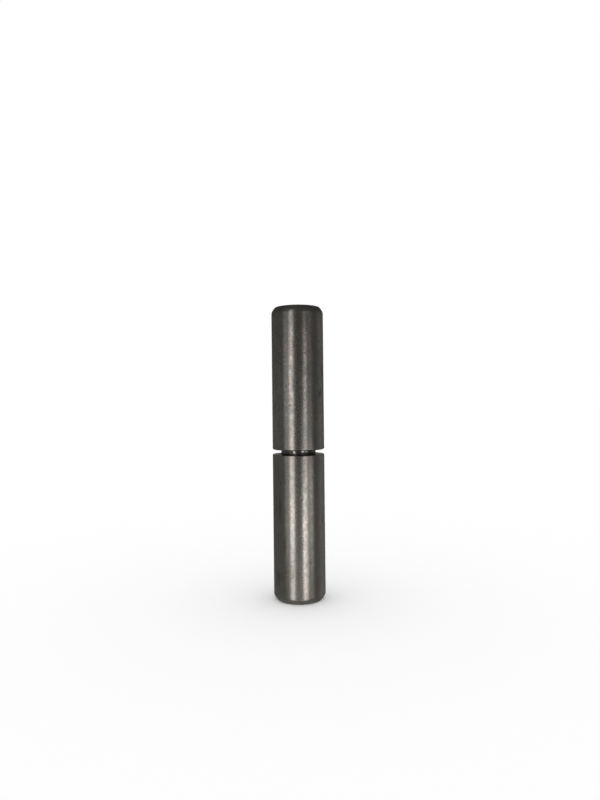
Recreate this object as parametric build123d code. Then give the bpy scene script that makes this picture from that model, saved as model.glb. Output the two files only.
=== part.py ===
from build123d import *
from math import radians, sin, tan
import os

# Weld-on barrel hinge: two turned steel barrels on one pin.
#
# The lower barrel holds the pin in a press fit.  The upper barrel turns on the pin and
# lifts off it.  A steel ball between the end of the pin and the drill point of the
# upper barrel's blind bore carries the load and holds the two barrels apart.
#
# Millimetres, +Z up.  The origin is the centre of the lower barrel's end face, and +Z
# runs along the pin.

# The two barrels
BARREL_DIAMETER = 18.0
LOWER_BARREL_LENGTH = 50.0
UPPER_BARREL_LENGTH = 49.2
BARREL_GAP = 1.7             # held open by the ball

# The bevelled outer ends
BEVEL_HEIGHT = 1.6           # along the axis
BEVEL_DEPTH = 1.15           # in towards the axis
LOWER_SIDE_ROUND = 1.7       # blends the bevel into the lower barrel's side
UPPER_SIDE_ROUND = 3.4       # and into the upper barrel's side, which is softer
BEVEL_FACE_BREAK = 0.3       # edge break between the bevel and the end face

# The inner ends, which are only deburred
LOWER_EDGE_BREAK = 0.2
UPPER_EDGE_BREAK = 0.3

# The pin
PIN_DIAMETER = 12.0
PIN_ENGAGEMENT = 27.0        # pressed into the lower barrel
PIN_PROJECTION = 28.0        # stands out of the lower barrel
PIN_LEAD_HEIGHT = 1.6        # tapered lead on the free end
PIN_LEAD_DEPTH = 0.7
PIN_FOOT_BREAK = 0.5         # chamfer on the pressed end

# The two blind bores
RUNNING_CLEARANCE = 0.09     # radial, between the pin and the upper bore
RUNNING_BORE_LEAD = 0.6      # countersink at the mouth of the upper bore
SOCKET_LEAD = 0.3            # countersink at the mouth of the pin's socket
DRILL_POINT_ANGLE = 118.0    # included angle of the drill that makes both

# The thrust ball
BALL_SIDE_CLEARANCE = 1.59   # radial, between the ball and the upper bore
BALL_FILM = 0.05             # grease under the ball and over it

# Worked out from the sizes above
BARREL_RADIUS = BARREL_DIAMETER / 2
PIN_RADIUS = PIN_DIAMETER / 2
BORE_RADIUS = PIN_RADIUS + RUNNING_CLEARANCE
BALL_RADIUS = BORE_RADIUS - BALL_SIDE_CLEARANCE
HALF_POINT = radians(DRILL_POINT_ANGLE / 2)

PIN_FOOT = LOWER_BARREL_LENGTH - PIN_ENGAGEMENT
PIN_END = LOWER_BARREL_LENGTH + PIN_PROJECTION
BALL_CENTRE = PIN_END + BALL_FILM + BALL_RADIUS
UPPER_BARREL_BOTTOM = LOWER_BARREL_LENGTH + BARREL_GAP
UPPER_BARREL_TOP = UPPER_BARREL_BOTTOM + UPPER_BARREL_LENGTH

# The drill point of the upper bore sits over the ball, with the film between them
RUNNING_BORE_TIP = BALL_CENTRE + (BALL_RADIUS + BALL_FILM) / sin(HALF_POINT)
RUNNING_BORE_DEPTH = RUNNING_BORE_TIP - BORE_RADIUS / tan(HALF_POINT) - UPPER_BARREL_BOTTOM


def corner(section, radius, height):
    """The corner of a half section nearest to a radius and a height."""
    return section.vertices().sort_by_distance((radius, 0, height))[0]


def turn(section):
    """Revolve a half section in the XZ plane once round the Z axis."""
    return revolve(section, axis=Axis.Z)


def half_section(*points):
    """A closed face in the XZ plane from (radius, height) points."""
    return make_face(Polyline(*[(radius, 0, height) for radius, height in points], close=True))


def barrel_blank(length, side_round, edge_break):
    """A solid barrel with its bevelled end at z = 0 and its deburred end on top."""
    bevel_foot = (BARREL_RADIUS - BEVEL_DEPTH, 0)
    bevel_top = (BARREL_RADIUS, BEVEL_HEIGHT)
    section = half_section(
        (0, 0),
        bevel_foot,
        bevel_top,
        (BARREL_RADIUS, length - edge_break),
        (BARREL_RADIUS - edge_break, length),
        (0, length),
    )
    section = chamfer(corner(section, *bevel_foot), BEVEL_FACE_BREAK)
    section = fillet(corner(section, *bevel_top), side_round)
    return turn(section)


def blind_bore(radius, mouth, depth, lead):
    """What is drilled out below a mouth: a countersink, a straight wall and a drill point."""
    wall_end = mouth - depth
    section = half_section(
        (0, mouth),
        (radius + lead, mouth),
        (radius, mouth - lead),
        (radius, wall_end),
        (0, wall_end - radius / tan(HALF_POINT)),
    )
    return turn(section)


def make_lower_barrel():
    """The barrel welded to the post, with the socket that the pin is pressed into."""
    blank = barrel_blank(LOWER_BARREL_LENGTH, LOWER_SIDE_ROUND, LOWER_EDGE_BREAK)
    return blank - blind_bore(PIN_RADIUS, LOWER_BARREL_LENGTH, PIN_ENGAGEMENT, SOCKET_LEAD)


def make_upper_barrel():
    """The barrel welded to the gate: a like blank turned over, with the running bore."""
    blank = barrel_blank(UPPER_BARREL_LENGTH, UPPER_SIDE_ROUND, UPPER_EDGE_BREAK)
    bore = blind_bore(BORE_RADIUS, UPPER_BARREL_LENGTH, RUNNING_BORE_DEPTH, RUNNING_BORE_LEAD)
    return Pos(0, 0, UPPER_BARREL_TOP) * Rot(180, 0, 0) * (blank - bore)


def make_hinge_pin():
    """The pin, chamfered where it is pressed in and tapered at its free end."""
    section = half_section(
        (0, PIN_FOOT),
        (PIN_RADIUS - PIN_FOOT_BREAK, PIN_FOOT),
        (PIN_RADIUS, PIN_FOOT + PIN_FOOT_BREAK),
        (PIN_RADIUS, PIN_END - PIN_LEAD_HEIGHT),
        (PIN_RADIUS - PIN_LEAD_DEPTH, PIN_END),
        (0, PIN_END),
    )
    return turn(section)


def make_thrust_ball():
    """The ball that stands on the pin's flat end."""
    return Pos(0, 0, BALL_CENTRE) * Sphere(BALL_RADIUS)


os.makedirs("parts", exist_ok=True)
export_step(make_lower_barrel(), "parts/lower_barrel.step")
export_step(make_hinge_pin(), "parts/hinge_pin.step")
export_step(make_thrust_ball(), "parts/thrust_ball.step")
export_step(make_upper_barrel(), "parts/upper_barrel.step")
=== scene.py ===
import math
from collections import namedtuple

import bmesh
import bpy
from mathutils import Matrix, Vector


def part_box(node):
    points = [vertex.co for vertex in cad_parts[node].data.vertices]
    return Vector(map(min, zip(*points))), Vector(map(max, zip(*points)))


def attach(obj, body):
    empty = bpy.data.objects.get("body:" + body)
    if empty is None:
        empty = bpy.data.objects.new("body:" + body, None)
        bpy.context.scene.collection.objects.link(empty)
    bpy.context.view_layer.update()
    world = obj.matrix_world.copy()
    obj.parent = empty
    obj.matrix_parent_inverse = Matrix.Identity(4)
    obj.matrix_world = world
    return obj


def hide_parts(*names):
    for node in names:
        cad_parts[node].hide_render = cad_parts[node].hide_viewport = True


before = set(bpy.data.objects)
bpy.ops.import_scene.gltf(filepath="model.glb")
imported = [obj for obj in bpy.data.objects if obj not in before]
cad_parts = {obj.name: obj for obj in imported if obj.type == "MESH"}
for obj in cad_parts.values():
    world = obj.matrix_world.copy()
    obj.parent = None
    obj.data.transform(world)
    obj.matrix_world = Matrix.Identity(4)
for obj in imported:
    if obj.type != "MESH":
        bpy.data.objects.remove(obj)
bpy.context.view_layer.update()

# Weld-on barrel hinge in bare drawn steel, standing on its end in a plain white studio.
#
# Metres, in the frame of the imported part: the hinge axis is Z, and the lower barrel's end
# face lies at z = 0.  Each barrel and the pin is a turned outline spun about the axis.
# Angles round the hinge are counted from its front, which faces -Y, positive towards +X.

MM = 0.001

# ---------------------------------------------------------------- sizes of the turned pieces

LOWER_LOW, LOWER_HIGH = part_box("lower_barrel")
UPPER_LOW, UPPER_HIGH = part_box("upper_barrel")
PIN_LOW, PIN_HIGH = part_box("hinge_pin")
BALL_LOW, BALL_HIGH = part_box("thrust_ball")

BARREL_RADIUS = min(-LOWER_LOW.x, -UPPER_LOW.x)
PIN_RADIUS = min(-PIN_LOW.x, PIN_HIGH.x)
BALL_RADIUS = (BALL_HIGH.z - BALL_LOW.z) / 2
BALL_CENTRE = (BALL_HIGH.z + BALL_LOW.z) / 2

BEVEL_HEIGHT = 1.6 * MM
BEVEL_DEPTH = 1.15 * MM
LOWER_SIDE_ROUND = 1.7 * MM  # between the bevel and the side
UPPER_SIDE_ROUND = 2.4 * MM
BEVEL_FACE_ROUND = 0.35 * MM
LOWER_EDGE_BREAK = 0.1 * MM
UPPER_EDGE_BREAK = 0.3 * MM
EDGE_ROUND = 0.05 * MM
PIN_CORNER_ROUND = 0.2 * MM
RUNNING_CLEARANCE = 0.09 * MM
RUNNING_BORE_LEAD = 0.6 * MM
SOCKET_LEAD = 0.3 * MM
PIN_LEAD_HEIGHT = 1.6 * MM
PIN_LEAD_DEPTH = 0.7 * MM
PIN_FOOT_BREAK = 0.5 * MM
BALL_FILM = 0.05 * MM
HALF_POINT = math.radians(118 / 2)  # of the drill that makes both bores
BEVEL_TURN = math.atan2(BEVEL_DEPTH, BEVEL_HEIGHT)

BORE_RADIUS = PIN_RADIUS + RUNNING_CLEARANCE
BORE_TIP = BALL_CENTRE + (BALL_RADIUS + BALL_FILM) / math.sin(HALF_POINT)

BARREL_STEPS = 288           # facets round a barrel
PIN_STEPS = 192
ROW_HEIGHT = 0.26 * MM       # of the facets along a barrel's side
ROUND_SEGMENTS = 6           # facets across a blended edge
BREAK_TURN = math.pi / 4     # how far an outline turns at either corner of an edge break
SAME_PLACE = 0.001 * MM      # points this close are one
LONG_RUN = 1 * MM            # a straight longer than this is cut into rows
SIDE_BAND = 0.15 * MM        # faces this near the full radius belong to the side,
BORE_BAND = 0.01 * MM        # and this near the bore's radius to the bore
DRAWN_SIDE, TURNED_ENDS, DRILLED_BORE = range(3)  # the order of a barrel's finishes


# ---------------------------------------------------------------- turning

def start_outline(points):
    """A bmesh that holds an open outline of (radius, height) points, with its corners."""
    bm = bmesh.new()
    corners = [bm.verts.new((radius, 0, height)) for radius, height in points]
    for pair in zip(corners, corners[1:]):
        bm.edges.new(pair)
    return bm, corners


def round_corner(bm, corner, radius, turn):
    """Blend a corner of an outline, where it turns by an angle, with an arc of a radius."""
    bmesh.ops.bevel(
        bm,
        geom=[corner],
        offset=radius * math.tan(turn / 2),
        offset_type="OFFSET",
        segments=ROUND_SEGMENTS,
        profile=0.5,
        affect="VERTICES",
        material=-1,
    )


def divide_side(bm, radius):
    """Cut the long run of an outline that lies at a radius into rows."""
    for edge in list(bm.edges):
        ends = [vert.co.x for vert in edge.verts]
        if max(abs(end - radius) for end in ends) < SAME_PLACE and edge.calc_length() > LONG_RUN:
            rows = round(edge.calc_length() / ROW_HEIGHT)
            bmesh.ops.subdivide_edges(bm, edges=[edge], cuts=rows - 1)


def spin_outline(bm, steps):
    """Spin an outline once round the Z axis into a closed shell that faces outwards."""
    bmesh.ops.spin(
        bm,
        geom=list(bm.verts) + list(bm.edges),
        cent=(0, 0, 0),
        axis=(0, 0, 1),
        angle=2 * math.pi,
        steps=steps,
        use_merge=True,
    )
    bmesh.ops.remove_doubles(bm, verts=bm.verts, dist=SAME_PLACE)
    bmesh.ops.recalc_face_normals(bm, faces=bm.faces)


def finish_piece(bm, name, body, replaced, materials):
    """Turn a bmesh into a smooth-shaded piece that rides on a body and replaces a node."""
    mesh = bpy.data.meshes.new(name)
    bm.to_mesh(mesh)
    bm.free()
    mesh.shade_smooth()
    for material in materials:
        mesh.materials.append(material)
    piece = bpy.data.objects.new(name, mesh)
    bpy.context.scene.collection.objects.link(piece)
    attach(piece, body)
    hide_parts(replaced)
    return piece


# ---------------------------------------------------------------- handling marks

def front_point(angle, height, radius=BARREL_RADIUS):
    """The point on a barrel's side at an angle in degrees from the front, at a height."""
    turn = math.radians(angle)
    return Vector((radius * math.sin(turn), -radius * math.cos(turn), height))


def press_mark(bm, angle, height, half_width, half_length, slant, depth):
    """Press a shallow oval mark into a barrel's side, its long axis slanted from upright."""
    lean = math.radians(slant)
    for vert in bm.verts:
        if abs(vert.co.z - height) > half_length + half_width:
            continue
        radius = vert.co.xy.length
        if radius < BARREL_RADIUS - BEVEL_DEPTH:
            continue
        turn = math.atan2(vert.co.x, -vert.co.y) - math.radians(angle)
        around = radius * math.remainder(turn, 2 * math.pi)
        along = vert.co.z - height
        across = (around * math.cos(lean) - along * math.sin(lean)) / half_width
        lengthwise = (around * math.sin(lean) + along * math.cos(lean)) / half_length
        reach = across ** 2 + lengthwise ** 2
        if reach < 1:
            vert.co.xy *= 1 - depth * (1 - reach) ** 2 / radius


# Angle from the front in degrees, height, half width, half length, slant in degrees, depth;
# the lengths are in millimetres.
UPPER_MARKS = (
    (-27, 73.5, 0.42, 0.50, 20, 0.060),
    (-22, 74.2, 0.30, 0.34, 0, 0.035),
    (-19, 67.0, 0.34, 0.85, 82, 0.045),
    (-40, 81.2, 0.32, 0.45, 0, 0.040),
    (16, 84.7, 0.28, 0.75, 86, 0.032),
    (27, 73.6, 0.62, 0.70, 0, 0.030),
    (52, 70.7, 0.30, 1.90, 3, 0.040),
    (64, 60.9, 0.34, 0.60, -35, 0.060),
    (70, 58.5, 0.42, 1.10, -14, 0.075),
    (76, 56.7, 0.34, 0.60, 0, 0.055),
    (3, 78.9, 0.26, 0.30, 0, 0.030),
)
LOWER_MARKS = (
    (-22, 43.5, 0.30, 0.40, 0, 0.035),
    (6, 35.5, 0.36, 0.46, -30, 0.055),
    (34, 43.0, 0.34, 0.60, -25, 0.040),
    (24, 14.1, 0.36, 0.40, 0, 0.050),
    (31, 13.7, 0.26, 0.28, 0, 0.035),
    (-31, 10.6, 0.34, 0.60, 8, 0.055),
    (-29, 4.2, 0.34, 0.50, 0, 0.045),
    (61, 26.3, 0.28, 0.50, 0, 0.035),
)


def press_marks(bm, marks):
    """Press a list of marks, given in degrees and millimetres, into a barrel."""
    for angle, height, half_width, half_length, slant, depth in marks:
        press_mark(bm, angle, height * MM, half_width * MM, half_length * MM, slant, depth * MM)


# ---------------------------------------------------------------- shader helpers

def feed(tree, socket, value):
    """Link an output to a socket, or set the socket to a plain value."""
    if isinstance(value, bpy.types.NodeSocket):
        tree.links.new(value, socket)
    else:
        socket.default_value = value


def place(tree, kind, options=None, **inputs):
    """Add a node with its options, and feed its inputs by name (underscores for spaces)."""
    node = tree.nodes.new("ShaderNode" + kind)
    for option, value in (options or {}).items():
        setattr(node, option, value)
    for name, value in inputs.items():
        feed(tree, node.inputs[name.replace("_", " ")], value)
    return node


def reckon(tree, operation, *values):
    """The output of a Math node fed with values or outputs."""
    node = place(tree, "Math", {"operation": operation})
    for socket, value in zip(node.inputs, values):
        feed(tree, socket, value)
    return node.outputs[0]


def times(tree, first, second):
    """The product of two values or outputs."""
    return reckon(tree, "MULTIPLY", first, second)


def add_up(tree, *values):
    """The sum of several values."""
    total = values[0]
    for value in values[1:]:
        total = reckon(tree, "ADD", total, value)
    return total


def strongest(tree, *masks):
    """The largest of several masks."""
    most = masks[0]
    for mask in masks[1:]:
        most = reckon(tree, "MAXIMUM", most, mask)
    return most


def ease(tree, value, low, high, bottom=0.0, top=1.0):
    """Take a value from low..high to bottom..top along a smooth step."""
    node = place(tree, "MapRange", {"interpolation_type": "SMOOTHSTEP"}, Value=value)
    limits = {"From Min": low, "From Max": high, "To Min": bottom, "To Max": top}
    for name, limit in limits.items():
        feed(tree, node.inputs[name], limit)
    return node.outputs["Result"]


def blend_colours(tree, amount, first, second):
    """Mix two colours, which may be outputs or (r, g, b, 1)."""
    node = place(tree, "Mix", {"data_type": "RGBA"})
    feed(tree, node.inputs[0], amount)
    feed(tree, node.inputs[6], first)
    feed(tree, node.inputs[7], second)
    return node.outputs[2]


def object_place(tree):
    """Object coordinates: the place on the piece, in metres."""
    return place(tree, "TexCoord").outputs["Object"]


def noise(tree, where, scale, detail=2.0, roughness=0.5):
    """The grey value of a noise texture, about 0.5 on average, with scale waves to a metre."""
    node = place(tree, "TexNoise", Vector=where, Scale=scale, Detail=detail, Roughness=roughness)
    return node.outputs["Fac"]


def stretched(tree, where, z):
    """Coordinates scaled along the axis, so that a pattern on them is stretched by 1 / z."""
    return place(tree, "Mapping", Vector=where, Scale=(1, 1, z)).outputs["Vector"]


def new_group(name, inputs, outputs):
    """A shader node group with named sockets; gives the group, its inputs and its end."""
    group = bpy.data.node_groups.new(name, "ShaderNodeTree")
    for label, default in inputs.items():
        kind = "NodeSocketVector" if isinstance(default, tuple) else "NodeSocketFloat"
        socket = group.interface.new_socket(label, in_out="INPUT", socket_type=kind)
        socket.default_value = default
    for label in outputs:
        group.interface.new_socket(label, in_out="OUTPUT", socket_type="NodeSocketFloat")
    begin = group.nodes.new("NodeGroupInput")
    end = group.nodes.new("NodeGroupOutput")
    return group, begin.outputs, end.inputs


def use(tree, group, **inputs):
    """Place a node group, feed its inputs by name, and give its outputs."""
    node = tree.nodes.new("ShaderNodeGroup")
    node.node_tree = group
    for name, value in inputs.items():
        feed(tree, node.inputs[name.replace("_", " ")], value)
    return node.outputs


# ---------------------------------------------------------------- finishes as node groups

def make_round_bar_group():
    """Coordinates of a turned piece: its radius, its height and the way round it."""
    group, _, end = new_group("round_bar", {}, ("Radius", "Height", "Around"))
    parts = place(group, "SeparateXYZ", Vector=object_place(group)).outputs
    squares = reckon(
        group, "ADD", reckon(group, "POWER", parts["X"], 2), reckon(group, "POWER", parts["Y"], 2)
    )
    radius = reckon(group, "SQRT", squares)
    turn = reckon(group, "ARCTAN2", parts["X"], times(group, parts["Y"], -1))
    feed(group, end["Radius"], radius)
    feed(group, end["Height"], parts["Z"])
    feed(group, end["Around"], times(group, turn, BARREL_RADIUS))
    return group


def make_drawn_grain_group():
    """The skin of drawn bar: fine specks, long lines from the die, and wide dull clouds."""
    sizes = {"Speck size": 0.6 * MM, "Line width": 0.25 * MM}
    group, begin, end = new_group("drawn_grain", sizes, ("Relief", "Specks", "Cloud"))
    where = object_place(group)
    speck_scale = reckon(group, "DIVIDE", 1, begin["Speck size"])
    line_scale = reckon(group, "DIVIDE", 1, begin["Line width"])
    specks = noise(group, stretched(group, where, z=0.55), speck_scale, 2.5, 0.62)
    lines = noise(group, stretched(group, where, z=0.03), line_scale, 2, 0.5)
    waves = noise(group, stretched(group, where, z=0.5), 420, 2, 0.5)
    clouds = noise(group, stretched(group, where, z=0.8), 430, 3, 0.62)
    relief = add_up(
        group, times(group, specks, 0.8), times(group, lines, 0.2), times(group, waves, 1.3)
    )
    feed(group, end["Relief"], relief)
    feed(group, end["Specks"], specks)
    feed(group, end["Cloud"], ease(group, clouds, 0.3, 0.7))
    return group


def make_pinholes_group():
    """Scattered pinholes: how many cells have one is set by Share, from 0 to 1."""
    sizes = {"Spacing": 2 * MM, "Share": 0.3, "Size": 0.1}
    group, begin, end = new_group("pinholes", sizes, ("Mask",))
    cells = place(
        group,
        "TexVoronoi",
        {"feature": "F1"},
        Vector=object_place(group),
        Scale=reckon(group, "DIVIDE", 1, begin["Spacing"]),
    ).outputs
    pick = place(group, "SeparateColor", Color=cells["Color"]).outputs
    chosen = reckon(group, "LESS_THAN", pick["Red"], begin["Share"])
    own_size = times(group, begin["Size"], reckon(group, "ADD", pick["Green"], 0.4))
    hole = ease(group, cells["Distance"], own_size, times(group, own_size, 0.3))
    feed(group, end["Mask"], times(group, hole, chosen))
    return group


def make_lathe_rings_group():
    """Rings left by the lathe tool, a pitch apart along the radius and the height."""
    group, begin, end = new_group("lathe_rings", {"Pitch": 0.12 * MM}, ("Relief", "Band"))
    bar = use(group, ROUND_BAR)
    travel = reckon(group, "ADD", bar["Radius"], times(group, bar["Height"], 0.83))
    rings = place(
        group,
        "TexNoise",
        {"noise_dimensions": "1D"},
        W=travel,
        Scale=reckon(group, "DIVIDE", 1, begin["Pitch"]),
        Detail=2.0,
        Roughness=0.7,
    )
    bands = place(group, "TexNoise", {"noise_dimensions": "1D"}, W=travel, Scale=1800.0, Detail=1.0)
    feed(group, end["Relief"], rings.outputs["Fac"])
    feed(group, end["Band"], bands.outputs["Fac"])
    return group


def make_ragged_patch_group():
    """A soft-edged oval patch on the surface, ragged at its rim."""
    sizes = {"Centre": (0.0, 0.0, 0.0), "Half size": (1.0, 1.0, 1.0)}
    group, begin, end = new_group("ragged_patch", sizes, ("Mask",))
    where = object_place(group)
    shift = place(group, "VectorMath", {"operation": "SUBTRACT"})
    feed(group, shift.inputs[0], where)
    feed(group, shift.inputs[1], begin["Centre"])
    scaled = place(group, "VectorMath", {"operation": "DIVIDE"})
    feed(group, scaled.inputs[0], shift.outputs[0])
    feed(group, scaled.inputs[1], begin["Half size"])
    length = place(group, "VectorMath", {"operation": "LENGTH"})
    feed(group, length.inputs[0], scaled.outputs[0])
    ragged = times(group, reckon(group, "SUBTRACT", noise(group, where, 1500, 3), 0.5), 1.3)
    from_centre = add_up(group, length.outputs["Value"], ragged)
    feed(group, end["Mask"], ease(group, from_centre, 1, 0.25))
    return group


def make_fine_scratches_group():
    """Fine parallel scratches at a slant in degrees from upright, broken along their length."""
    group, begin, end = new_group("fine_scratches", {"Slant": 45.0, "Width": 0.12 * MM}, ("Mask",))
    bar = use(group, ROUND_BAR)
    lean = reckon(group, "RADIANS", begin["Slant"])
    sine = reckon(group, "SINE", lean)
    cosine = reckon(group, "COSINE", lean)
    across = reckon(
        group, "SUBTRACT", times(group, bar["Around"], cosine), times(group, bar["Height"], sine)
    )
    along = add_up(group, times(group, bar["Around"], sine), times(group, bar["Height"], cosine))
    flat = place(group, "CombineXYZ", X=across, Y=times(group, along, 0.06)).outputs[0]
    lines = noise(group, flat, reckon(group, "DIVIDE", 1, begin["Width"]), 1, 0.5)
    feed(group, end["Mask"], ease(group, lines, 0.6, 0.72))
    return group


ROUND_BAR = make_round_bar_group()
DRAWN_GRAIN = make_drawn_grain_group()
PINHOLES = make_pinholes_group()
LATHE_RINGS = make_lathe_rings_group()
RAGGED_PATCH = make_ragged_patch_group()
FINE_SCRATCHES = make_fine_scratches_group()


# ---------------------------------------------------------------- steels

def start_metal(name):
    """A bare metal material; gives it with its node tree and its shader."""
    material = bpy.data.materials.new(name)
    material.use_nodes = True
    tree = material.node_tree
    shader = tree.nodes["Principled BSDF"]
    shader.inputs["Metallic"].default_value = 1.0
    return material, tree, shader


def emboss(tree, shader, height, depth):
    """Feed a height, of which 1 stands for a depth in metres, to a shader's normal."""
    bump = place(tree, "Bump", Height=height, Strength=1.0, Distance=depth)
    feed(tree, shader.inputs["Normal"], bump.outputs["Normal"])


PINKISH_STEEL = (0.722, 0.670, 0.626, 1)
GREENISH_STEEL = (0.654, 0.665, 0.618, 1)
DULL_STEEL = (0.456, 0.443, 0.418, 1)
BROWN_OXIDE = (0.300, 0.240, 0.200, 1)
PIT_BLACK = (0.085, 0.078, 0.070, 1)
# Painted shade where the pin meets the lower barrel's end: its dark colour, how far out from the
# pin it is solid, and where it fades
FOOT_SHADE_DARK = (0.130, 0.120, 0.110, 1)
FOOT_SHADE_SOLID = 0.3 * MM      # out from the pin on the lower barrel's inner end
FOOT_SHADE_SPREAD = 0.7 * MM     # and where it ends
TURNED_BRIGHT = (0.56, 0.54, 0.49, 1)
TURNED_DULL = (0.44, 0.425, 0.385, 1)
DRILLED_BRIGHT = (0.40, 0.385, 0.35, 1)
DRILLED_DULL = (0.27, 0.26, 0.235, 1)
GROUND_DARK = (0.34, 0.328, 0.312, 1)
GROUND_DARKEST = (0.20, 0.192, 0.178, 1)
GLINT_PATCH_BRIGHT = (0.80, 0.775, 0.745, 1)
POLISHED_BRIGHT = (0.70, 0.69, 0.67, 1)
POLISHED_HAZY = (0.58, 0.565, 0.53, 1)

# How deep a height of 1 is in the relief of each finish
DRAWN_RELIEF = 0.012 * MM
TURNED_RELIEF = 0.008 * MM
DRILLED_RELIEF = 0.014 * MM
GROUND_RELIEF = 0.006 * MM


def patches(tree, spots, radius=BARREL_RADIUS):
    """Soft patches on a turned piece's side, joined.

    Each is an angle, a height, a half width, a half height and a strength from 0 to 1.
    """
    masks = []
    for angle, height, half_width, half_height, strength in spots:
        size = (half_width * MM, half_width * MM, half_height * MM)
        centre = front_point(angle, height * MM, radius)
        patch = use(tree, RAGGED_PATCH, Centre=centre, Half_size=size)["Mask"]
        masks.append(times(tree, patch, strength))
    return strongest(tree, *masks)


def make_drawn_steel(name, speck_size, mottle, brown_spots, dark_spots, scratched_spots):
    """The drawn side of a barrel with its own stains, dark nicks and scratched places.

    Mottle, about 1, is how far its dull specks and clouds stand out.
    """
    material, tree, shader = start_metal(name)
    where = object_place(tree)
    grain = use(tree, DRAWN_GRAIN, Speck_size=speck_size)
    fine_holes = use(tree, PINHOLES, Spacing=1.3 * MM, Share=0.07, Size=0.11)["Mask"]
    holes = use(tree, PINHOLES, Spacing=3.1 * MM, Share=0.09, Size=0.07)["Mask"]
    pits = strongest(tree, fine_holes, holes)
    brown = patches(tree, brown_spots)
    dark = patches(tree, dark_spots)
    rub_lines = use(tree, FINE_SCRATCHES, Slant=-38.0, Width=0.13 * MM)["Mask"]
    rubbed = times(tree, patches(tree, scratched_spots), rub_lines)
    stray_lines = use(tree, FINE_SCRATCHES, Slant=28.0, Width=0.16 * MM)["Mask"]
    stray = times(tree, stray_lines, ease(tree, noise(tree, where, 170, 2), 0.54, 0.68))

    along_bar = stretched(tree, where, z=0.4)
    bloom = ease(tree, noise(tree, along_bar, 210, 3, 0.65), 0.52, 0.78)
    blush = ease(tree, noise(tree, along_bar, 330, 2, 0.5), 0.4, 0.6)
    clean = blend_colours(tree, blush, GREENISH_STEEL, PINKISH_STEEL)
    uneven = add_up(tree, grain["Cloud"], ease(tree, grain["Specks"], 0.3, 0.7), -1.0)
    dullness = add_up(tree, times(tree, uneven, 0.5 * mottle), 0.5)
    colour = blend_colours(tree, dullness, clean, DULL_STEEL)
    colour = blend_colours(tree, times(tree, bloom, 0.28), colour, BROWN_OXIDE)
    colour = blend_colours(tree, brown, colour, BROWN_OXIDE)
    colour = blend_colours(tree, dark, colour, PIT_BLACK)
    colour = blend_colours(tree, times(tree, pits, 0.36), colour, PIT_BLACK)
    feed(tree, shader.inputs["Base Color"], colour)

    roughness = add_up(
        tree,
        ease(tree, grain["Specks"], 0.3, 0.7, 0.20, 0.262),
        times(tree, grain["Cloud"], 0.03),
        times(tree, reckon(tree, "MAXIMUM", brown, pits), 0.12),
    )
    feed(tree, shader.inputs["Roughness"], roughness)
    height = add_up(
        tree,
        grain["Relief"],
        times(tree, pits, -0.5),
        times(tree, rubbed, -0.4),
        times(tree, stray, -0.18),
    )
    emboss(tree, shader, height, DRAWN_RELIEF)
    return material


def make_turned_steel():
    """Bevels, end faces and edge breaks, cut on the lathe, with painted shade round the pin's foot.
    """
    material, tree, shader = start_metal("turned_steel")
    rings = use(tree, LATHE_RINGS, Pitch=0.11 * MM)
    specks = noise(tree, object_place(tree), 1800, 2, 0.6)
    dullness = ease(tree, noise(tree, object_place(tree), 240, 3, 0.6), 0.35, 0.7)
    colour = blend_colours(tree, dullness, TURNED_BRIGHT, TURNED_DULL)
    bands = ease(tree, rings["Band"], 0.55, 0.75, 0, 0.35)
    colour = blend_colours(tree, bands, colour, BROWN_OXIDE)
    bar = use(tree, ROUND_BAR)
    # Painted shade: a dark ring on the lower barrel's end round the pin's foot
    on_mouth = reckon(tree, "COMPARE", bar["Height"], LOWER_HIGH.z, SOCKET_LEAD + 0.1 * MM)
    ring = ease(tree, bar["Radius"], PIN_RADIUS + FOOT_SHADE_SPREAD, PIN_RADIUS + FOOT_SHADE_SOLID)
    foot_shade = times(tree, ring, on_mouth)
    colour = blend_colours(tree, foot_shade, colour, FOOT_SHADE_DARK)
    feed(tree, shader.inputs["Base Color"], colour)
    feed(tree, shader.inputs["Roughness"], ease(tree, rings["Relief"], 0.3, 0.7, 0.30, 0.40))
    height = add_up(tree, rings["Relief"], times(tree, specks, 0.5))
    emboss(tree, shader, height, TURNED_RELIEF)
    return material


def make_drilled_steel():
    """The wall of a drilled bore, darker and ringed by the drill."""
    material, tree, shader = start_metal("drilled_steel")
    rings = use(tree, LATHE_RINGS, Pitch=0.22 * MM)
    dullness = ease(tree, noise(tree, object_place(tree), 400, 3, 0.6), 0.35, 0.7)
    colour = blend_colours(tree, dullness, DRILLED_BRIGHT, DRILLED_DULL)
    feed(tree, shader.inputs["Base Color"], colour)
    feed(tree, shader.inputs["Roughness"], ease(tree, rings["Relief"], 0.3, 0.7, 0.34, 0.45))
    emboss(tree, shader, rings["Relief"], DRILLED_RELIEF)
    return material


# Painted highlights: where the pin's colour is made bright so that the strip lights glint there:
# angle, height, half width, half height and strength
PIN_GLINT_PATCHES = (
    (-14.5, 51.1, 0.40, 0.55, 0.8),
    (12.5, 51.25, 0.70, 0.40, 1.0),
    (25.5, 51.3, 0.45, 0.34, 1.0),
)


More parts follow.
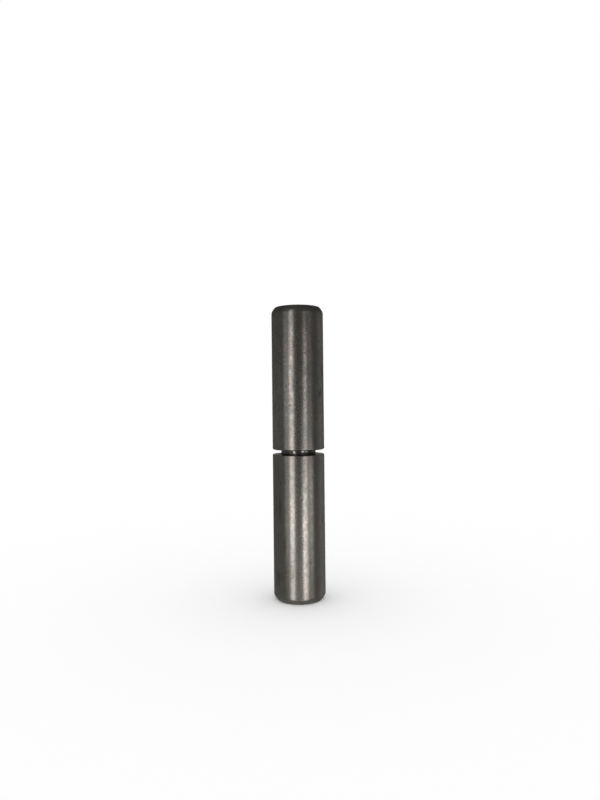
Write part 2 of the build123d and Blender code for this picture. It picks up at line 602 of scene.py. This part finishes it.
def make_ground_steel():
    """The pin: ground round and darkened, with painted shade at its foot and painted highlights in
    places.

    The painted shade stands higher on the right of the foot than on its left.
    """
    material, tree, shader = start_metal("ground_steel")
    rings = use(tree, LATHE_RINGS, Pitch=0.05 * MM)
    where = object_place(tree)
    worn = ease(tree, noise(tree, stretched(tree, where, z=2.5), 320, 3, 0.6), 0.45, 0.7)
    # Painted shade at the pin's foot, where it meets the lower barrel, standing higher on the right
    ragged = times(tree, noise(tree, where, 900, 2), 0.4 * MM)
    bar = use(tree, ROUND_BAR)
    thicker = ease(tree, bar["Around"], 0, 1.2 * MM, 0, 0.35 * MM)
    rim = add_up(tree, ragged, thicker, LOWER_HIGH.z)
    foot_shade = ease(tree, reckon(tree, "SUBTRACT", bar["Height"], rim), 0.5 * MM, 0.15 * MM)
    colour = blend_colours(tree, worn, GROUND_DARK, GROUND_DARKEST)
    colour = blend_colours(tree, foot_shade, colour, FOOT_SHADE_DARK)
    # Painted highlights: bright patches of base colour where the strip lights glint on the pin
    polished = patches(tree, PIN_GLINT_PATCHES, PIN_RADIUS)
    colour = blend_colours(tree, polished, colour, GLINT_PATCH_BRIGHT)
    feed(tree, shader.inputs["Base Color"], colour)
    roughness = add_up(tree, ease(tree, worn, 0, 1, 0.05, 0.11), times(tree, foot_shade, 0.25))
    feed(tree, shader.inputs["Roughness"], roughness)
    specks = noise(tree, where, 2200, 2, 0.6)
    height = add_up(tree, rings["Relief"], times(tree, specks, 1.4))
    emboss(tree, shader, height, GROUND_RELIEF)
    return material


def make_polished_steel():
    """The ball: polished, with a faint greasy haze."""
    material, tree, shader = start_metal("polished_steel")
    haze = ease(tree, noise(tree, object_place(tree), 450, 3, 0.6), 0.45, 0.75)
    colour = blend_colours(tree, haze, POLISHED_BRIGHT, POLISHED_HAZY)
    feed(tree, shader.inputs["Base Color"], colour)
    feed(tree, shader.inputs["Roughness"], ease(tree, haze, 0, 1, 0.05, 0.16))
    return material


UPPER_STEEL = make_drawn_steel(
    "drawn_steel_upper",
    speck_size=0.6 * MM,
    mottle=1.2,
    brown_spots=(
        (2, 95.2, 2.4, 4.5, 0.45),
        (-6, 86.3, 1.3, 5.0, 0.55),
        (58, 70.4, 0.8, 2.6, 0.6),
        (-8, 73.9, 1.1, 3.2, 0.5),
        (66, 79.3, 1.0, 2.4, 0.6),
    ),
    dark_spots=(
        (-27, 73.5, 0.34, 0.42, 0.75),
        (-19, 67.0, 0.75, 0.30, 0.6),
        (-40, 81.2, 0.30, 0.45, 0.6),
        (16, 84.7, 0.65, 0.24, 0.5),
        (52, 70.7, 0.34, 1.9, 0.7),
        (64, 60.9, 0.40, 0.5, 0.75),
        (70, 58.5, 0.45, 1.1, 0.8),
        (76, 56.7, 0.40, 0.6, 0.75),
    ),
    scratched_spots=(
        (-2, 67.9, 2.4, 5.0, 1.0),
        (24, 91.2, 2.2, 4.0, 1.0),
        (5, 57.0, 2.0, 3.0, 1.0),
    ),
)
LOWER_STEEL = make_drawn_steel(
    "drawn_steel_lower",
    speck_size=0.75 * MM,
    mottle=0.68,
    brown_spots=(
        (-33, 43.6, 0.30, 6.0, 0.4),
        (-54, 8.4, 1.5, 4.0, 0.6),
        (-45, 32.7, 0.9, 6.0, 0.6),
        (-16, 11.0, 1.5, 3.6, 0.28),
        (-33, 19.8, 0.8, 5.0, 0.55),
        (62, 27.8, 0.9, 2.6, 0.6),
        (10, 44.0, 0.9, 3.0, 0.18),
        (-30, 4.6, 1.0, 2.4, 0.45),
    ),
    dark_spots=(
        (-42, 40.3, 0.40, 1.5, 0.35),
        (-33, 43.2, 0.16, 4.0, 0.45),
        (6, 35.5, 0.34, 0.42, 0.7),
        (24, 14.1, 0.38, 0.40, 0.65),
        (-31, 10.6, 0.34, 0.7, 0.6),
        (-22, 43.5, 0.26, 0.35, 0.5),
    ),
    scratched_spots=(
        (2, 37.7, 1.8, 3.6, 1.0),
        (0, 21.8, 2.0, 4.0, 1.0),
    ),
)
TURNED_STEEL = make_turned_steel()
DRILLED_STEEL = make_drilled_steel()
GROUND_STEEL = make_ground_steel()
POLISHED_STEEL = make_polished_steel()


# ---------------------------------------------------------------- the barrels

Barrel = namedtuple("Barrel", "base mouth side_round edge_break bore_radius bore_lead bore_end")

# Base is the height of a barrel's bevelled end, and mouth that of its other end.
LOWER_BARREL = Barrel(
    base=LOWER_LOW.z,
    mouth=LOWER_HIGH.z,
    side_round=LOWER_SIDE_ROUND,
    edge_break=LOWER_EDGE_BREAK,
    bore_radius=PIN_RADIUS,
    bore_lead=SOCKET_LEAD,
    bore_end=PIN_LOW.z,
)
UPPER_BARREL = Barrel(
    base=UPPER_HIGH.z,
    mouth=UPPER_LOW.z,
    side_round=UPPER_SIDE_ROUND,
    edge_break=UPPER_EDGE_BREAK,
    bore_radius=BORE_RADIUS,
    bore_lead=RUNNING_BORE_LEAD,
    bore_end=BORE_TIP - BORE_RADIUS / math.tan(HALF_POINT),
)


def barrel_outline(barrel):
    """A barrel's outline from its bevelled end's centre to its bore's tip, corners blended."""
    upwards = math.copysign(1, barrel.mouth - barrel.base)
    bore_tip = barrel.bore_end - upwards * barrel.bore_radius / math.tan(HALF_POINT)
    bm, corners = start_outline([
        (0, barrel.base),
        (BARREL_RADIUS - BEVEL_DEPTH, barrel.base),
        (BARREL_RADIUS, barrel.base + upwards * BEVEL_HEIGHT),
        (BARREL_RADIUS, barrel.mouth - upwards * barrel.edge_break),
        (BARREL_RADIUS - barrel.edge_break, barrel.mouth),
        (barrel.bore_radius + barrel.bore_lead, barrel.mouth),
        (barrel.bore_radius, barrel.mouth - upwards * barrel.bore_lead),
        (barrel.bore_radius, barrel.bore_end),
        (0, bore_tip),
    ])
    round_corner(bm, corners[1], BEVEL_FACE_ROUND, math.pi / 2 - BEVEL_TURN)
    round_corner(bm, corners[2], barrel.side_round, BEVEL_TURN)
    for corner in corners[3:7]:
        round_corner(bm, corner, EDGE_ROUND, BREAK_TURN)
    divide_side(bm, BARREL_RADIUS)
    return bm


def share_finishes(bm, barrel):
    """Give the faces of a barrel their finish: the drawn side, the turned ends or the bore.

    The drawn side starts halfway along the blend above the bevel.
    """
    side_start = BEVEL_HEIGHT + barrel.side_round * math.tan(BEVEL_TURN / 2) / 2
    for face in bm.faces:
        centre = face.calc_center_median()
        radius = centre.xy.length
        from_base = abs(centre.z - barrel.base)
        from_mouth = abs(centre.z - barrel.mouth)
        on_side = radius > BARREL_RADIUS - SIDE_BAND
        in_bore = radius < barrel.bore_radius + BORE_BAND
        if on_side and from_base > side_start and from_mouth > barrel.edge_break:
            face.material_index = DRAWN_SIDE
        elif in_bore and from_mouth > barrel.bore_lead and from_base > BEVEL_HEIGHT:
            face.material_index = DRILLED_BORE
        else:
            face.material_index = TURNED_ENDS


def make_barrel(barrel, marks, side_steel, name, body, replaced):
    """Turn a barrel, press its marks and give it its three finishes."""
    bm = barrel_outline(barrel)
    spin_outline(bm, BARREL_STEPS)
    share_finishes(bm, barrel)
    press_marks(bm, marks)
    materials = (side_steel, TURNED_STEEL, DRILLED_STEEL)
    finish_piece(bm, name, body, replaced, materials)


# ---------------------------------------------------------------- the pin and the ball

def make_hinge_pin():
    """The pin, with its pressed foot in the lower barrel and its tapered lead on top."""
    foot = PIN_LOW.z
    end = PIN_HIGH.z
    bm, corners = start_outline([
        (0, foot),
        (PIN_RADIUS - PIN_FOOT_BREAK, foot),
        (PIN_RADIUS, foot + PIN_FOOT_BREAK),
        (PIN_RADIUS, end - PIN_LEAD_HEIGHT),
        (PIN_RADIUS - PIN_LEAD_DEPTH, end),
        (0, end),
    ])
    for corner in corners[1:5]:
        round_corner(bm, corner, PIN_CORNER_ROUND, BREAK_TURN)
    spin_outline(bm, PIN_STEPS)
    finish_piece(bm, "hinge_pin_ground", "lower_half", "hinge_pin", (GROUND_STEEL,))


def make_thrust_ball():
    """The ball in the drill point of the upper bore."""
    bm = bmesh.new()
    bmesh.ops.create_icosphere(
        bm, subdivisions=5, radius=BALL_RADIUS, matrix=Matrix.Translation((0, 0, BALL_CENTRE))
    )
    name = "thrust_ball_polished"
    finish_piece(bm, name, "ball_seat", "thrust_ball", (POLISHED_STEEL,))


make_barrel(
    LOWER_BARREL, LOWER_MARKS, LOWER_STEEL, "lower_barrel_turned", "lower_half", "lower_barrel"
)
make_barrel(
    UPPER_BARREL, UPPER_MARKS, UPPER_STEEL, "upper_barrel_turned", "upper_half", "upper_barrel"
)
make_hinge_pin()
make_thrust_ball()


# ---------------------------------------------------------------- studio

STUDIO_MIDDLE = Vector((0, 0, (LOWER_LOW.z + UPPER_HIGH.z) / 2))
FLOOR_RADIUS = 6.0
FLAG_RADIUS = 0.9
PANEL_RADIUS = 0.45
PANEL_STEPS = 24             # facets across a strip light
WARM_WHITE = (1.063, 1.0, 0.965)
FLAG_GREY = (1.01, 1.0, 0.965)
FLAG_BRIGHTNESS = (          # at heights in metres
    (-0.85, 0.17),
    (-0.487, 0.12),
    (-0.255, 0.09),
    (-0.023, 0.066),
    (0.239, 0.058),
    (0.50, 0.055),
    (0.907, 0.060),
)


def show_only_to_gloss(thing):
    """Let a studio piece be seen in the metal only, where it casts no light on the floor."""
    thing.visible_camera = False
    thing.visible_diffuse = False
    thing.visible_transmission = False
    thing.visible_volume_scatter = False
    thing.visible_shadow = False


def stage_piece(bm, name, material):
    """Turn a bmesh into a piece of the studio."""
    mesh = bpy.data.meshes.new(name)
    bm.to_mesh(mesh)
    bm.free()
    mesh.shade_smooth()
    mesh.materials.append(material)
    thing = bpy.data.objects.new(name, mesh)
    bpy.context.scene.collection.objects.link(thing)
    return thing


def glow_material(name, see_through=False):
    """A glowing cloth, see-through or not; gives it with its tree and its emission."""
    material = bpy.data.materials.new(name)
    material.use_nodes = True
    tree = material.node_tree
    tree.nodes.clear()
    glow = place(tree, "Emission")
    end = place(tree, "OutputMaterial")
    surface = glow.outputs["Emission"]
    if see_through:
        both = place(tree, "AddShader")
        feed(tree, both.inputs[0], surface)
        feed(tree, both.inputs[1], place(tree, "BsdfTransparent").outputs["BSDF"])
        surface = both.outputs["Shader"]
    feed(tree, end.inputs["Surface"], surface)
    return material, tree, glow


def brightness_by_height(tree, height, stops):
    """A ramp of brightness through (height, brightness) stops, from the lowest up."""
    lowest = stops[0][0]
    span = stops[-1][0] - lowest
    share = place(tree, "MapRange", Value=height, From_Min=lowest, From_Max=lowest + span)
    node = place(tree, "ValToRGB", Fac=share.outputs["Result"])
    marks = node.color_ramp.elements
    while len(marks) < len(stops):
        marks.new(1.0)
    for mark, (spot, bright) in zip(marks, stops):
        mark.position = (spot - lowest) / span
        mark.color = (bright, bright, bright, 1)
    return node.outputs["Color"]


def tint(tree, grey, colour):
    """A grey output tinted by a colour."""
    node = place(tree, "VectorMath", {"operation": "MULTIPLY"})
    feed(tree, node.inputs[0], grey)
    feed(tree, node.inputs[1], colour)
    return node.outputs[0]


def make_dark_flags():
    """Dark flags all round the hinge, as a hollow ball that is seen in the metal only."""
    material, tree, glow = glow_material("dark_flag_cloth")
    height = place(tree, "SeparateXYZ", Vector=object_place(tree)).outputs["Z"]
    dim = brightness_by_height(tree, height, FLAG_BRIGHTNESS)
    feed(tree, glow.inputs["Color"], tint(tree, dim, FLAG_GREY))
    material.cycles.emission_sampling = "NONE"
    bm = bmesh.new()
    bmesh.ops.create_icosphere(
        bm, subdivisions=5, radius=FLAG_RADIUS, matrix=Matrix.Translation(STUDIO_MIDDLE)
    )
    show_only_to_gloss(stage_piece(bm, "dark_flags", material))


def make_strip_light(name, start, stop, feather, stops, radius=PANEL_RADIUS):
    """A curved strip light between two angles in degrees, of thin cloth that adds its glow.

    Its sides fade over feather degrees, and stops give its brightness at heights in metres,
    from its foot to its head.
    """
    material, tree, glow = glow_material(name + "_cloth", see_through=True)
    parts = place(tree, "SeparateXYZ", Vector=object_place(tree)).outputs
    turn = reckon(tree, "ARCTAN2", parts["X"], times(tree, parts["Y"], -1))
    middle = math.radians((start + stop) / 2)
    half = math.radians((stop - start) / 2)
    swing = reckon(tree, "SUBTRACT", turn, middle)
    wrapped = reckon(tree, "WRAP", swing, math.pi, -math.pi)
    from_middle = reckon(tree, "ABSOLUTE", wrapped)
    edge = ease(tree, from_middle, half, half - math.radians(feather))
    bright = brightness_by_height(tree, parts["Z"], stops)
    feed(tree, glow.inputs["Color"], tint(tree, bright, WARM_WHITE))
    feed(tree, glow.inputs["Strength"], edge)

    bm = bmesh.new()
    angle = math.radians(start)
    foot = bm.verts.new((radius * math.sin(angle), -radius * math.cos(angle), stops[0][0]))
    head = bm.verts.new((radius * math.sin(angle), -radius * math.cos(angle), stops[-1][0]))
    pole = bm.edges.new((foot, head))
    bmesh.ops.spin(
        bm,
        geom=[foot, head, pole],
        cent=(0, 0, 0),
        axis=(0, 0, 1),
        angle=math.radians(stop - start),
        steps=PANEL_STEPS,
    )
    show_only_to_gloss(stage_piece(bm, name, material))


def make_floor():
    """A wide pale floor that keeps the hinge's soft shadow and isn't seen in the metal."""
    material = bpy.data.materials.new("pale_floor")
    material.use_nodes = True
    shader = material.node_tree.nodes["Principled BSDF"]
    shader.inputs["Base Color"].default_value = (1.0, 1.0, 1.0, 1)
    shader.inputs["Roughness"].default_value = 1.0
    shader.inputs["Specular IOR Level"].default_value = 0.0
    bm = bmesh.new()
    bmesh.ops.create_circle(bm, cap_ends=True, segments=96, radius=FLOOR_RADIUS)
    floor = stage_piece(bm, "floor", material)
    floor.visible_glossy = False


def make_white_room():
    """A plain white room all round."""
    world = bpy.data.worlds.new("white_room")
    world.use_nodes = True
    world.node_tree.nodes["Background"].inputs["Color"].default_value = (1, 1, 1, 1)
    world.node_tree.nodes["Background"].inputs["Strength"].default_value = 1.0
    world.cycles.sampling_method = "NONE"
    bpy.context.scene.world = world


make_white_room()
make_floor()
make_dark_flags()
# The metal shows the panels at heights from -0.15 at the hinge's foot through 0.01 at the gap
# to 0.17 at its top.
make_strip_light(
    "left_strip_light", -41.5, -17.3, 5,
    [(-0.70, 0.10), (-0.42, 0.50), (-0.33, 0.72), (-0.12, 0.75), (-0.085, 1.30), (-0.047, 1.83),
     (-0.012, 0.80), (0.01, 0.68), (0.045, 0.90), (0.083, 1.06), (0.12, 0.54), (0.14, 0.0)],
)
make_strip_light(
    "left_strip_light_top", -37, -17.5, 4,
    [(0.083, 0.0), (0.12, 0.80), (0.14, 0.61), (0.16, 0.44), (0.36, 0.44), (0.44, 0.02)],
)
make_strip_light(
    "left_side_panel", -67, -40, 10,
    [(-0.30, 0.03), (-0.12, 0.02), (-0.085, 0.28), (-0.047, 0.34), (-0.012, 0.05), (0.0, 0.07),
     (0.045, 0.37), (0.083, 0.28), (0.12, 0.31), (0.149, 0.11), (0.34, 0.0)],
)
make_strip_light(
    "right_strip_light_inner", 15.3, 28, 4,
    [(-0.70, 0.20), (-0.42, 0.85), (-0.33, 1.25), (-0.12, 1.02), (-0.085, 2.3), (-0.047, 1.88),
     (-0.012, 0.33), (0.02, 0.08), (0.045, 0.12), (0.083, 0.0)],
    radius=0.44,
)
make_strip_light(
    "right_strip_light_outer", 24, 40, 4,
    [(-0.70, 0.10), (-0.42, 0.55), (-0.33, 0.80), (-0.12, 0.80), (-0.085, 0.85), (-0.047, 1.50),
     (-0.012, 0.70), (0.015, 0.52), (0.045, 0.68), (0.083, 0.68), (0.12, 0.79), (0.149, 0.02),
     (0.36, 0.02), (0.44, 0.0)],
)
make_strip_light(
    "right_side_panel", 40, 68.5, 10,
    [(-0.30, 0.04), (-0.12, 0.11), (-0.085, 0.34), (-0.047, 0.54), (-0.012, 0.47), (0.015, 0.18),
     (0.083, 0.085), (0.149, 0.06), (0.34, 0.0)],
)
make_strip_light(
    "front_low_panel", -18, 17, 8,
    [(-0.34, 0.13), (-0.12, 0.12), (-0.047, 0.085), (-0.012, 0.0)],
    radius=0.43,
)
make_strip_light(
    "left_flank_panel", -165, -66, 14,
    [(-0.30, 0.012), (-0.047, 0.012), (0.0, 0.018), (0.045, 0.04), (0.149, 0.015), (0.3, 0.0)],
)
make_strip_light(
    "right_flank_panel", 78, 165, 40,
    [(-0.30, 0.07), (-0.047, 0.08), (0.0, 0.075), (0.149, 0.055), (0.3, 0.0)],
)
make_strip_light(
    "back_panel", 168, 192, 6,
    [(-0.15, 0.0), (-0.04, 0.25), (0.10, 0.25), (0.22, 0.0)],
)
make_strip_light(
    "back_top_panel", 160, 200, 8,
    [(0.35, 0.0), (0.45, 0.28), (0.80, 0.28), (0.86, 0.0)],
    radius=0.35,
)
for middle, name in ((167, "back_strip_light_left"), (193, "back_strip_light_right")):
    make_strip_light(
        name, middle - 4, middle + 4, 3,
        [(-0.30, 0.5), (-0.05, 0.95), (0.10, 0.85), (0.34, 0.1), (0.36, 0.0)],
        radius=0.44,
    )


# ---------------------------------------------------------------- camera

LENS = 27.045                # on a 36 mm frame
CAMERA_BACK = 0.20973        # from the middle of the hinge, along the line of sight
CAMERA_RISE = 0.01833        # above that middle
CAMERA_SHIFT = 0.00052       # and to its right
CAMERA_ROLL = 0.0103         # in radians
CAMERA_PITCH = 0.005         # upwards
NEAREST_SEEN = 0.01


def make_camera():
    """A level camera close in front of the hinge, a little above its middle."""
    data = bpy.data.cameras.new("camera")
    data.lens = LENS
    data.clip_start = NEAREST_SEEN
    camera = bpy.data.objects.new("camera", data)
    bpy.context.scene.collection.objects.link(camera)
    aim = Matrix.Rotation(CAMERA_ROLL, 4, "Y") @ Matrix.Rotation(math.pi / 2 + CAMERA_PITCH, 4, "X")
    offset = aim @ Vector((CAMERA_SHIFT, CAMERA_RISE, CAMERA_BACK))
    camera.matrix_world = Matrix.Translation(STUDIO_MIDDLE + offset) @ aim
    bpy.context.scene.camera = camera


make_camera()
bpy.context.scene.view_settings.view_transform = "Standard"
